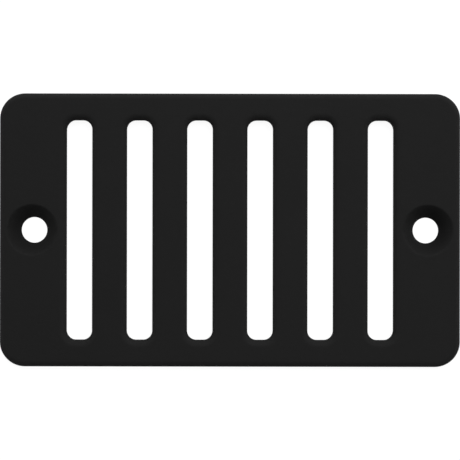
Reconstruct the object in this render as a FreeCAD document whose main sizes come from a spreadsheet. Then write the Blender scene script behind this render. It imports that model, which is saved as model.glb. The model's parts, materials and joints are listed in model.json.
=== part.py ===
import FreeCAD, Part
import Sketcher
import math
import os

# Drain grate: one cast plate with long slots between its bars, a softly rounded front and a
# countersunk screw hole at each end. The flat back lies on Z = 0 with its centre at the origin,
# the front faces +Z and the plate's length runs along X. Lengths are millimetres, angles degrees.

SIZES = {
    # plate
    "plate_length": 101.6,
    "plate_width": 60.3,
    "plate_thickness": 3.5,
    "corner_radius": 5.6,
    "edge_round": 1.4,           # round along the plate's front edge
    "back_break": 0.3,           # small chamfer along the plate's back edge
    # slots, measured at their narrowest, just below the rounded mouth
    "slot_count": 6,
    "slot_width": 5.6,
    "slot_border": 5.95,         # from the plate's long side to the end of a slot
    "slot_corner_radius": 2.0,
    "slot_round": 1.5,           # round along a slot's mouth
    "slot_lean": 8.0,            # angle by which the walls open out towards the back
    # screw holes
    "hole_diameter": 5.7,
    "countersink_angle": 82.0,
    "rim_diameter": 11.6,        # where the countersink's rounded rim meets the face
    "rim_round": 0.5,
    "rim_to_slot": 0.15,         # flat left between a rim and the round of the nearest slot
    "least_flat": 0.1,           # flat left between a rim and the plate's end round, and the least anywhere
}

# Places along the plate, from its end to the screw hole and on to the middle of the first slot
HOLE_INSET = "(Sizes.edge_round + Sizes.least_flat + Sizes.rim_diameter / 2)"
SLOT_INSET = (
    f"({HOLE_INSET} + Sizes.rim_diameter / 2 + Sizes.rim_to_slot"
    " + Sizes.slot_round + Sizes.slot_width / 2)"
)
HOLE_SPACING = f"(Sizes.plate_length - 2 * {HOLE_INSET})"
SLOT_SPAN = f"(Sizes.plate_length - 2 * {SLOT_INSET})"
BAR_WIDTH = f"({SLOT_SPAN} / (Sizes.slot_count - 1) - Sizes.slot_width)"

# Rounds, each limited by the wall that carries it
EDGE_ROUND = "min(Sizes.edge_round; Sizes.plate_thickness - Sizes.back_break - Sizes.least_flat)"
SLOT_CORNER = "min(Sizes.slot_corner_radius; (Sizes.slot_width - Sizes.least_flat) / 2)"
BAR_LIMIT = f"({BAR_WIDTH} - Sizes.least_flat) / 2"
DEPTH_LIMIT = "(Sizes.plate_thickness - Sizes.least_flat) / (1 + sin(Sizes.slot_lean))"
SLOT_ROUND = f"min(Sizes.slot_round; {BAR_LIMIT}; {DEPTH_LIMIT})"

# A slot before its mouth is rounded: its leaning wall stands in by this much at the face
MOUTH_STEP = f"({SLOT_ROUND} * (tan(Sizes.slot_lean) + 1 / cos(Sizes.slot_lean) - 1))"
MOUTH_WIDTH = f"Sizes.slot_width - 2 * {MOUTH_STEP}"
MOUTH_LENGTH = f"Sizes.plate_width - 2 * Sizes.slot_border - 2 * {MOUTH_STEP}"
MOUTH_CORNER = f"{SLOT_CORNER} - {MOUTH_STEP}"

# A countersink before its rim is rounded
RIM_STEP = "(Sizes.rim_round * tan((90 - Sizes.countersink_angle / 2) / 2))"
SHARP_DIAMETER = f"Sizes.rim_diameter - 2 * {RIM_STEP}"

LEVEL_TOLERANCE = 1e-6
UP = FreeCAD.Vector(0, 0, 1)


def make_sheet(doc):
    """Spreadsheet with one named cell for each driving size."""
    sheet = doc.addObject("Spreadsheet::Sheet", "Sizes")
    for row, (name, value) in enumerate(SIZES.items(), start=1):
        sheet.set(f"A{row}", name)
        sheet.set(f"B{row}", str(value))
        sheet.setAlias(f"B{row}", name)
    doc.recompute()


def level_sketch(body, name):
    """Empty sketch on the body's XY plane."""
    sketch = body.newObject("Sketcher::SketchObject", name)
    plane = next(p for p in body.Origin.OriginFeatures if p.Role == "XY_Plane")
    sketch.AttachmentSupport = [(plane, "")]
    sketch.MapMode = "FlatFace"
    return sketch


def dimension(sketch, name, expression, kind, *where):
    """Add a dimension to the sketch under a name and tie it to an expression."""
    value = sketch.evalExpression(expression)
    index = sketch.addConstraint(Sketcher.Constraint(kind, *where, value))
    sketch.renameConstraint(index, name)
    sketch.setExpression(f"Constraints.{name}", expression)


def rounded_rectangle(sketch, length, width, radius):
    """Draw a rounded rectangle about the sketch's origin: four sides joined by tangent corner arcs."""
    corner = sketch.evalExpression(radius)
    reach_x = sketch.evalExpression(length) / 2
    reach_y = sketch.evalExpression(width) / 2
    in_x = reach_x - corner
    in_y = reach_y - corner
    starts = ((-in_x, -reach_y), (reach_x, -in_y), (in_x, reach_y), (-reach_x, in_y))
    ends = ((in_x, -reach_y), (reach_x, in_y), (-in_x, reach_y), (-reach_x, -in_y))
    centres = ((in_x, -in_y), (in_x, in_y), (-in_x, in_y), (-in_x, -in_y))
    sides = []
    corners = []
    for turn in range(4):
        side = Part.LineSegment(FreeCAD.Vector(*starts[turn]), FreeCAD.Vector(*ends[turn]))
        circle = Part.Circle(FreeCAD.Vector(*centres[turn]), UP, corner)
        arc = Part.ArcOfCircle(circle, (turn - 1) * math.pi / 2, turn * math.pi / 2)
        sides.append(sketch.addGeometry(side))
        corners.append(sketch.addGeometry(arc))
    for turn in range(4):
        next_side = sides[(turn + 1) % 4]
        direction = ("Horizontal", "Vertical")[turn % 2]
        sketch.addConstraint(Sketcher.Constraint(direction, sides[turn]))
        sketch.addConstraint(Sketcher.Constraint("Tangent", sides[turn], 2, corners[turn], 1))
        sketch.addConstraint(Sketcher.Constraint("Tangent", corners[turn], 2, next_side, 1))
    for other in corners[1:]:
        sketch.addConstraint(Sketcher.Constraint("Equal", corners[0], other))
    sketch.addConstraint(Sketcher.Constraint("Symmetric", corners[0], 3, corners[2], 3, -1, 1))
    dimension(sketch, "across", length, "DistanceX", sides[3], 1, sides[1], 1)
    dimension(sketch, "along", width, "DistanceY", sides[0], 1, sides[2], 1)
    dimension(sketch, "rounding", radius, "Radius", corners[0])


def make_plate(body):
    """Flat plate with rounded corners."""
    outline = level_sketch(body, "plate_outline")
    rounded_rectangle(outline, "Sizes.plate_length", "Sizes.plate_width", "Sizes.corner_radius")
    plate = body.newObject("PartDesign::Pad", "plate")
    plate.Profile = outline
    plate.setExpression("Length", "Sizes.plate_thickness")
    body.Document.recompute()
    return plate


def cut_slots(body):
    """Row of slots along X, cut from the face right through the back, where they are wider."""
    mouth = level_sketch(body, "slot_mouth")
    mouth.setExpression("AttachmentOffset.Base.x", f"-{SLOT_SPAN} / 2")
    mouth.setExpression("AttachmentOffset.Base.z", "Sizes.plate_thickness")
    rounded_rectangle(mouth, MOUTH_WIDTH, MOUTH_LENGTH, MOUTH_CORNER)
    slot = body.newObject("PartDesign::Pocket", "slot")
    slot.Profile = mouth
    slot.Type = "Length"
    slot.setExpression("Length", "2 * Sizes.plate_thickness")
    slot.setExpression("TaperAngle", "Sizes.slot_lean")
    body.Document.recompute()
    row = body.newObject("PartDesign::LinearPattern", "slot_row")
    row.Originals = [slot]
    row.Direction = (mouth, ["H_Axis"])
    row.Mode = "Extent"
    row.setExpression("Length", SLOT_SPAN)
    row.setExpression("Occurrences", "Sizes.slot_count")
    body.Tip = row
    body.Document.recompute()
    return row


def cut_holes(body):
    """Countersunk screw hole at each end, on the plate's centre line."""
    places = level_sketch(body, "hole_places")
    places.setExpression("AttachmentOffset.Base.z", "Sizes.plate_thickness")
    reach = places.evalExpression(HOLE_SPACING) / 2
    radius = places.evalExpression("Sizes.hole_diameter") / 2
    left = places.addGeometry(Part.Circle(FreeCAD.Vector(-reach, 0, 0), UP, radius))
    right = places.addGeometry(Part.Circle(FreeCAD.Vector(reach, 0, 0), UP, radius))
    places.addConstraint(Sketcher.Constraint("PointOnObject", left, 3, -1))
    places.addConstraint(Sketcher.Constraint("Symmetric", left, 3, right, 3, -1, 1))
    places.addConstraint(Sketcher.Constraint("Equal", left, right))
    dimension(places, "apart", HOLE_SPACING, "DistanceX", left, 3, right, 3)
    dimension(places, "bore", "Sizes.hole_diameter", "Diameter", left)
    body.Document.recompute()
    holes = body.newObject("PartDesign::Hole", "screw_holes")
    holes.Profile = places
    holes.ThreadType = "None"
    holes.DepthType = "ThroughAll"
    holes.HoleCutType = "Countersink"
    holes.HoleCutCustomValues = True
    holes.setExpression("Diameter", "Sizes.hole_diameter")
    holes.setExpression("HoleCutDiameter", SHARP_DIAMETER)
    holes.setExpression("HoleCutCountersinkAngle", "Sizes.countersink_angle")
    body.Document.recompute()
    return holes


def level_faces(feature):
    """Level faces of the shape so far, from the back face to the front face."""
    level = [face for face in feature.Shape.Faces if face.BoundBox.ZLength < LEVEL_TOLERANCE]
    return sorted(level, key=lambda face: face.BoundBox.ZMin)


def openings(face):
    """Wires round the openings in a face."""
    return [wire for wire in face.Wires if not wire.isSame(face.OuterWire)]


def edge_names(feature, wires):
    """Names of the edges of the shape so far that make up the wires."""
    wanted = [edge for wire in wires for edge in wire.Edges]
    names = []
    for number, edge in enumerate(feature.Shape.Edges, start=1):
        if any(edge.isSame(other) for other in wanted):
            names.append(f"Edge{number}")
    return names


def round_edges(body, name, wires, radius):
    """Round the edges along the wires of the body's last feature."""
    rounds = body.newObject("PartDesign::Fillet", name)
    rounds.Base = (rounds.BaseFeature, edge_names(rounds.BaseFeature, wires))
    rounds.setExpression("Radius", radius)
    body.Document.recompute()
    return rounds


def break_edges(body, name, wires, size):
    """Chamfer the edges along the wires of the body's last feature."""
    chamfer = body.newObject("PartDesign::Chamfer", name)
    chamfer.Base = (chamfer.BaseFeature, edge_names(chamfer.BaseFeature, wires))
    chamfer.setExpression("Size", size)
    body.Document.recompute()
    return chamfer


def soften_edges(body, cut):
    """Rounds on the countersinks' rims, the slots' mouths and the front edge, and a broken back edge."""
    rims = [wire for wire in openings(level_faces(cut)[-1]) if len(wire.Edges) == 1]
    rim_rounds = round_edges(body, "rim_rounds", rims, "Sizes.rim_round")
    mouths = [wire for wire in openings(level_faces(rim_rounds)[-1]) if len(wire.Edges) > 1]
    slot_rounds = round_edges(body, "slot_rounds", mouths, SLOT_ROUND)
    front_edge = level_faces(slot_rounds)[-1].OuterWire
    edge_rounds = round_edges(body, "edge_rounds", [front_edge], EDGE_ROUND)
    back_edge = level_faces(edge_rounds)[0].OuterWire
    return break_edges(body, "back_edge_break", [back_edge], "Sizes.back_break")


def check(body, steps):
    """Stop if a feature failed, a step took nothing away or the body isn't one sound solid."""
    for item in body.Document.Objects:
        if "Invalid" in item.State or "Error" in item.State:
            raise RuntimeError(f"{item.Name} failed")
    for before, after in zip(steps, steps[1:]):
        if after.Shape.Volume >= before.Shape.Volume:
            raise RuntimeError(f"{after.Name} took nothing away")
    if body.Shape.isNull() or not body.Shape.isValid() or len(body.Shape.Solids) != 1:
        raise RuntimeError(f"{body.Label} isn't one sound solid")


doc = FreeCAD.newDocument("drain_grate")
make_sheet(doc)
grate = doc.addObject("PartDesign::Body", "drain_grate")
grate.Label = "drain_grate"
plate = make_plate(grate)
slotted = cut_slots(grate)
drilled = cut_holes(grate)
finished = soften_edges(grate, drilled)
check(grate, (plate, slotted, drilled, finished))
os.makedirs("parts", exist_ok=True)
grate.Shape.exportStep(f"parts/{grate.Label}.step")
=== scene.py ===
import json
import math
import bmesh
import bpy
from mathutils import Matrix, Vector


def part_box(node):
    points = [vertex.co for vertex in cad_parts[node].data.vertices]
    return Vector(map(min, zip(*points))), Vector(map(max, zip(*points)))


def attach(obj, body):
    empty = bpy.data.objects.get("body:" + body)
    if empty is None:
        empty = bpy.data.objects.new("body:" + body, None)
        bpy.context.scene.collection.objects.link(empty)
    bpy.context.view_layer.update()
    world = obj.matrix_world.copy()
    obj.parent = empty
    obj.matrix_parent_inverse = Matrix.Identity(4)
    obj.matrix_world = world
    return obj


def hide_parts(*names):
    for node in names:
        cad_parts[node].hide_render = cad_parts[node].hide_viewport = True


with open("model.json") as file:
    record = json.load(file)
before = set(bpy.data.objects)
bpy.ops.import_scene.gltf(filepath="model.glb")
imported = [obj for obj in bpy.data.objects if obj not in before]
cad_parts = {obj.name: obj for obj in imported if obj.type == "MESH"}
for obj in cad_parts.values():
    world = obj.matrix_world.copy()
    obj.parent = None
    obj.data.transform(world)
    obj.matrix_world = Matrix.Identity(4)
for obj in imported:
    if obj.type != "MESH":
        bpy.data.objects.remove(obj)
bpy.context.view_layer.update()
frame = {"record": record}

# A coated cast drain grate that lies on its back, seen straight from above.
# It stands in the part's own frame: length along X, slots along Y, front face up.
# The casting is shaped in millimetres and scaled to metres at the end.
MM = 0.001

# Sizes that the frame gives, in millimetres
back_corner, front_corner = (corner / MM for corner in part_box("drain_grate"))
plate_reach = front_corner.xy
face_height = front_corner.z
back_height = back_corner.z
record = frame["record"]
screw_holes = next(m for m in record["mounts"] if m["name"] == "screw_holes")["dims"]
hole_reach = screw_holes["spacing_x_mm"] / 2
bore_radius = screw_holes["hole_r_mm"]
slot_boxes = [o["box_m"] for o in record["physics"]["openings"] if o["name"].startswith("slot")]
slot_middles = [(low[0] + high[0]) / 2 / MM for low, high in slot_boxes]

# Other sizes of the casting, in millimetres
plate_corner = 5.6
edge_round = 1.4
back_break = 0.3
slot_width = 5.6
slot_border = 5.95
slot_reach = Vector((slot_width / 2, plate_reach.y - slot_border))
slot_corner = 2.0
slot_round = 1.5
slot_lean = math.radians(8)
rim_radius = 5.8
rim_round = 0.5
countersink_half_angle = math.radians(41)
# The coat softens the edges that the casting leaves sharp
coat_round = 0.12
# Narrow strip that keeps the shading of the flat faces level up to their rounds
level_strip = 0.03

# Steps along the curves
plate_corner_steps = 20
slot_corner_steps = 14
hole_steps = 96
round_steps = 14
coat_steps = 4


def draw_section(bm, place, *corners):
    """Line from a place through (outward, up, round, steps) corners, with rounded turns.

    The first and last corners are its ends and take no round. Returns the line's edges and vertices.
    """
    verts = [bm.verts.new(place + Vector((outward, 0, up))) for outward, up, *_ in corners]
    for ends in zip(verts, verts[1:]):
        bm.edges.new(ends)
    for vert, (_, _, size, steps) in zip(verts[1:-1], corners[1:-1]):
        bmesh.ops.bevel(
            bm, geom=[vert], offset=size * math.tan(vert.calc_edge_angle() / 2), offset_type="OFFSET",
            segments=steps, profile=0.5, affect="VERTICES", material=-1,
        )
    edges = [edge for edge in bm.edges if edge.is_wire]
    return edges + list({vert for edge in edges for vert in edge.verts})


def carry_round(bm, section, middle_x, reach, corner, steps):
    """Carry a section round a rounded rectangle: along a side and through a quarter turn, four times."""
    half_side = Vector((reach.x - corner, reach.y - corner, 0))
    for quarter in range(4):
        turn = Matrix.Rotation(math.radians(90) * quarter, 3, "Z")
        side, depth = (half_side.x, half_side.y) if quarter % 2 else (half_side.y, half_side.x)
        section = bmesh.ops.spin(
            bm, geom=section, axis=(0, 0, 1), dvec=turn @ Vector((0, 2 * side, 0)), angle=0, steps=1,
        )["geom_last"]
        corner_middle = Vector((middle_x, 0, 0)) + turn @ Vector((depth, side, 0))
        section = bmesh.ops.spin(
            bm, geom=section, cent=corner_middle, axis=(0, 0, 1), angle=math.radians(90), steps=steps,
        )["geom_last"]


def plate_edge(bm):
    """Outer edge of the plate: a rounded front edge, a straight side and a chamfered back edge."""
    section = draw_section(
        bm, Vector((plate_reach.x, plate_corner - plate_reach.y, 0)),
        (-edge_round - level_strip, face_height),
        (0, face_height, edge_round, round_steps),
        (0, back_height + back_break, coat_round, coat_steps),
        (-back_break, back_height, coat_round, coat_steps),
        (-back_break - coat_round - level_strip, back_height),
    )
    carry_round(bm, section, 0, plate_reach, plate_corner, plate_corner_steps)


def slot_wall(bm, middle_x):
    """Wall of a slot: a rounded mouth, then a wall that leans away towards the back."""
    lean = math.tan(slot_lean)
    mouth = -slot_round * (lean + 1 / math.cos(slot_lean) - 1)
    foot = mouth + (face_height - back_height) * lean
    section = draw_section(
        bm, Vector((middle_x + slot_reach.x, slot_corner - slot_reach.y, 0)),
        (slot_round + level_strip, face_height),
        (mouth, face_height, slot_round, round_steps),
        (foot, back_height, coat_round, coat_steps),
        (foot + coat_round + level_strip, back_height),
    )
    carry_round(bm, section, middle_x, slot_reach, slot_corner, slot_corner_steps)


def screw_hole_wall(bm, middle_x):
    """Wall of a screw hole: a rounded rim, the countersink's cone and a short bore at the back."""
    rim_turn = math.radians(90) - countersink_half_angle
    mouth = rim_radius - rim_round * math.tan(rim_turn / 2)
    bore_top = face_height - (mouth - bore_radius) / math.tan(countersink_half_angle)
    section = draw_section(
        bm, Vector((middle_x, 0, 0)),
        (rim_radius + level_strip, face_height),
        (mouth, face_height, rim_round, round_steps),
        (bore_radius, bore_top, coat_round, coat_steps),
        (bore_radius, back_height, coat_round, coat_steps),
        (bore_radius + coat_round + level_strip, back_height),
    )
    bmesh.ops.spin(
        bm, geom=section, cent=(middle_x, 0, 0), axis=(0, 0, 1),
        angle=math.radians(360), steps=hole_steps, use_merge=True,
    )


def close_level(bm, height):
    """Fill the flat face between the open lines at a height."""
    open_lines = [edge for edge in bm.edges if edge.is_boundary]
    lines = [e for e in open_lines if all(abs(v.co.z - height) < level_strip for v in e.verts)]
    bmesh.ops.triangle_fill(bm, use_beauty=True, edges=lines)


def cast_grate():
    """The grate in one piece: walls of its edge, slots and screw holes, closed by face and back."""
    bm = bmesh.new()
    plate_edge(bm)
    for middle_x in slot_middles:
        slot_wall(bm, middle_x)
    for middle_x in (-hole_reach, hole_reach):
        screw_hole_wall(bm, middle_x)
    bmesh.ops.remove_doubles(bm, verts=bm.verts, dist=level_strip / 10)
    close_level(bm, face_height)
    close_level(bm, back_height)
    bmesh.ops.recalc_face_normals(bm, faces=bm.faces)
    bmesh.ops.scale(bm, vec=(MM, MM, MM), verts=bm.verts)
    mesh = bpy.data.meshes.new("cast_grate")
    bm.to_mesh(mesh)
    bm.free()
    mesh.shade_smooth()
    return mesh


def grey(level):
    """Neutral colour of a level from 0, black, to 1, white."""
    return (level, level, level, 1)


def feed(nodes, socket, value):
    """Set a number on a socket, or link another node's output to it."""
    if isinstance(value, bpy.types.NodeSocket):
        nodes.id_data.links.new(value, socket)
    else:
        socket.default_value = value


def calculate(nodes, operation, *values):
    """Do a sum on numbers and other nodes' outputs. Returns the socket."""
    step = nodes.new("ShaderNodeMath")
    step.operation = operation
    for socket, value in zip(step.inputs, values):
        feed(nodes, socket, value)
    return step.outputs[0]


def change_over(nodes, value, start, end, first=0, last=1, shape="LINEAR"):
    """Go from the first number to the last as the value goes from start to end. Returns the socket."""
    step = nodes.new("ShaderNodeMapRange")
    step.interpolation_type = shape
    names = ("Value", "From Min", "From Max", "To Min", "To Max")
    for name, setting in zip(names, (value, start, end, first, last)):
        feed(nodes, step.inputs[name], setting)
    return step.outputs["Result"]


def clouds(nodes, place, size, detail):
    """Cloudy pattern with patches of about the size, in millimetres. Returns the socket."""
    pattern = nodes.new("ShaderNodeTexNoise")
    pattern.inputs["Scale"].default_value = 1 / (size * MM)
    pattern.inputs["Detail"].default_value = detail
    nodes.id_data.links.new(place.outputs["Object"], pattern.inputs["Vector"])
    return pattern.outputs["Fac"]


def countersink_shade_mask(nodes, place):
    """Mask for the painted shade in the countersinks: 0 on the face and the back, rising to 1 on the
    cones.
    """
    back_fade = 0.3
    links = nodes.id_data.links
    axes = nodes.new("ShaderNodeSeparateXYZ")
    links.new(place.outputs["Object"], axes.inputs[0])
    from_middle = calculate(nodes, "ABSOLUTE", axes.outputs["X"])
    from_hole = nodes.new("ShaderNodeCombineXYZ")
    links.new(calculate(nodes, "SUBTRACT", from_middle, hole_reach * MM), from_hole.inputs["X"])
    links.new(axes.outputs["Y"], from_hole.inputs["Y"])
    radius = nodes.new("ShaderNodeVectorMath")
    radius.operation = "LENGTH"
    links.new(from_hole.outputs[0], radius.inputs[0])
    above_back = change_over(nodes, axes.outputs["Z"], back_height * MM, (back_height + back_fade) * MM)
    return change_over(
        nodes, radius.outputs["Value"], rim_radius * MM, (rim_radius - rim_round) * MM,
        last=above_back, shape="SMOOTHSTEP",
    )


def powder_coat():
    """Matte black coat: clouded tone, painted shade that darkens the countersinks, uneven roughness,
    fine orange peel.
    """
    peel_height = 0.03
    grain_height = 0.006
    material = bpy.data.materials.new("matte_powder_coat")
    material.use_nodes = True
    nodes, links = material.node_tree.nodes, material.node_tree.links
    shader = nodes["Principled BSDF"]
    shader.inputs["Specular IOR Level"].default_value = 0.05
    place = nodes.new("ShaderNodeTexCoord")

    face_tone = nodes.new("ShaderNodeValToRGB")
    face_tone.color_ramp.elements[0].color = grey(0.0118)
    face_tone.color_ramp.elements[1].color = grey(0.0132)
    # Painted shade: a darker colour is mixed into the clouded tone on the countersinks' cones
    tone_and_painted_shade = nodes.new("ShaderNodeMix")
    tone_and_painted_shade.data_type = "RGBA"
    tone_and_painted_shade.inputs["B"].default_value = grey(0.0098)
    links.new(clouds(nodes, place, size=9, detail=3), face_tone.inputs["Fac"])
    links.new(countersink_shade_mask(nodes, place), tone_and_painted_shade.inputs["Factor"])
    links.new(face_tone.outputs["Color"], tone_and_painted_shade.inputs["A"])
    links.new(tone_and_painted_shade.outputs["Result"], shader.inputs["Base Color"])

    mottle = clouds(nodes, place, size=1.6, detail=4)
    links.new(change_over(nodes, mottle, 0, 1, first=0.64, last=0.76), shader.inputs["Roughness"])

    orange_peel = nodes.new("ShaderNodeBump")
    orange_peel.inputs["Distance"].default_value = peel_height * MM
    grain = nodes.new("ShaderNodeBump")
    grain.inputs["Distance"].default_value = grain_height * MM
    links.new(clouds(nodes, place, size=0.8, detail=1), orange_peel.inputs["Height"])
    links.new(clouds(nodes, place, size=0.25, detail=1), grain.inputs["Height"])
    links.new(orange_peel.outputs["Normal"], grain.inputs["Normal"])
    links.new(grain.outputs["Normal"], shader.inputs["Normal"])
    return material


def place_grate():
    """Put the coated casting in the place of the plain plate."""
    grate = bpy.data.objects.new("coated_grate", cast_grate())
    bpy.context.scene.collection.objects.link(grate)
    grate.data.materials.append(powder_coat())
    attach(grate, "root")
    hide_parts("drain_grate")


def place_camera():
    """Camera straight above the plate, its picture as wide as the plate."""
    view_distance = 240 * MM
    picture_width = 101.5 * MM
    edge_depth = 1.1 * MM
    picture_middle = Vector((0.01, 0.04)) * MM
    picture_turn = math.radians(0.1)
    camera = bpy.data.cameras.new("camera")
    camera.sensor_width = 36
    camera.lens = camera.sensor_width * (view_distance + edge_depth) / picture_width
    camera.clip_start = 1 * MM
    camera.clip_end = 100
    holder = bpy.data.objects.new("camera", camera)
    holder.location = (*picture_middle, face_height * MM + view_distance)
    holder.rotation_euler.z = picture_turn
    bpy.context.scene.collection.objects.link(holder)
    bpy.context.scene.camera = holder


def white_floor():
    """Pale floor that shows as a white ground with the grate's faint shadow on it."""
    material = bpy.data.materials.new("white_floor")
    material.use_nodes = True
    nodes, links = material.node_tree.nodes, material.node_tree.links
    nodes.clear()
    ray = nodes.new("ShaderNodeLightPath")
    seen_or_mirrored = calculate(
        nodes, "MAXIMUM", ray.outputs["Is Camera Ray"], ray.outputs["Is Glossy Ray"],
    )
    seen = calculate(nodes, "MAXIMUM", seen_or_mirrored, ray.outputs["Is Transmission Ray"])
    pale = nodes.new("ShaderNodeBsdfDiffuse")
    pale.inputs["Color"].default_value = grey(0.2)
    shadow_catcher = nodes.new("ShaderNodeBsdfDiffuse")
    shadow_catcher.inputs["Color"].default_value = grey(0.14)
    ground = nodes.new("ShaderNodeEmission")
    ground.inputs["Strength"].default_value = 0.94
    white = nodes.new("ShaderNodeAddShader")
    choice = nodes.new("ShaderNodeMixShader")
    output = nodes.new("ShaderNodeOutputMaterial")
    links.new(shadow_catcher.outputs[0], white.inputs[0])
    links.new(ground.outputs[0], white.inputs[1])
    links.new(seen, choice.inputs["Fac"])
    links.new(pale.outputs[0], choice.inputs[1])
    links.new(white.outputs[0], choice.inputs[2])
    links.new(choice.outputs[0], output.inputs["Surface"])
    return material


def place_floor():
    """Plain floor just under the plate."""
    floor_reach = 4
    floor_gap = 0.02 * MM
    bm = bmesh.new()
    level = Matrix.Translation((0, 0, back_height * MM - floor_gap))
    bmesh.ops.create_grid(bm, x_segments=1, y_segments=1, size=floor_reach, matrix=level)
    mesh = bpy.data.meshes.new("floor")
    bm.to_mesh(mesh)
    bm.free()
    floor = bpy.data.objects.new("floor", mesh)
    floor.data.materials.append(white_floor())
    bpy.context.scene.collection.objects.link(floor)


def soft_box(name, azimuth, elevation, distance, width, radiance):
    """Square soft light that faces the plate."""
    lamp = bpy.data.lights.new(name, "AREA")
    lamp.shape = "SQUARE"
    lamp.size = width
    lamp.energy = math.pi * width ** 2 * radiance
    holder = bpy.data.objects.new(name, lamp)
    azimuth, elevation = math.radians(azimuth), math.radians(elevation)
    outward = math.cos(elevation)
    way = Vector((outward * math.cos(azimuth), outward * math.sin(azimuth), math.sin(elevation)))
    holder.location = way * distance
    holder.rotation_euler = way.to_track_quat("Z", "Y").to_euler()
    bpy.context.scene.collection.objects.link(holder)


def white_walls():
    """Light tent around the plate: walls bright low down, dimmer on the near side, and a dark top."""
    near_strength = 1.1
    far_strength = 4.6
    near_middle = -1
    near_end = -0.3
    fall_off = 4
    world = bpy.data.worlds.new("light_tent")
    world.use_nodes = True
    nodes, links = world.node_tree.nodes, world.node_tree.links
    way = nodes.new("ShaderNodeTexCoord")
    axes = nodes.new("ShaderNodeSeparateXYZ")
    links.new(way.outputs["Generated"], axes.inputs[0])
    lowness = calculate(nodes, "MINIMUM", calculate(nodes, "SUBTRACT", 1, axes.outputs["Z"]), 1)
    fade = calculate(nodes, "POWER", lowness, fall_off)
    round_about = change_over(
        nodes, axes.outputs["Y"], near_middle, near_end,
        first=near_strength, last=far_strength, shape="SMOOTHSTEP",
    )
    walls = nodes["Background"]
    walls.inputs["Color"].default_value = grey(1)
    links.new(calculate(nodes, "MULTIPLY", fade, round_about), walls.inputs["Strength"])
    return world


def place_lights():
    """Light tent with one large soft light above, beyond the plate and a little to the right."""
    soft_box("key_light", azimuth=69, elevation=61, distance=0.7, width=0.6, radiance=4.3)
    bpy.context.scene.world = white_walls()


bpy.context.scene.view_settings.view_transform = "Standard"
place_grate()
place_camera()
place_floor()
place_lights()
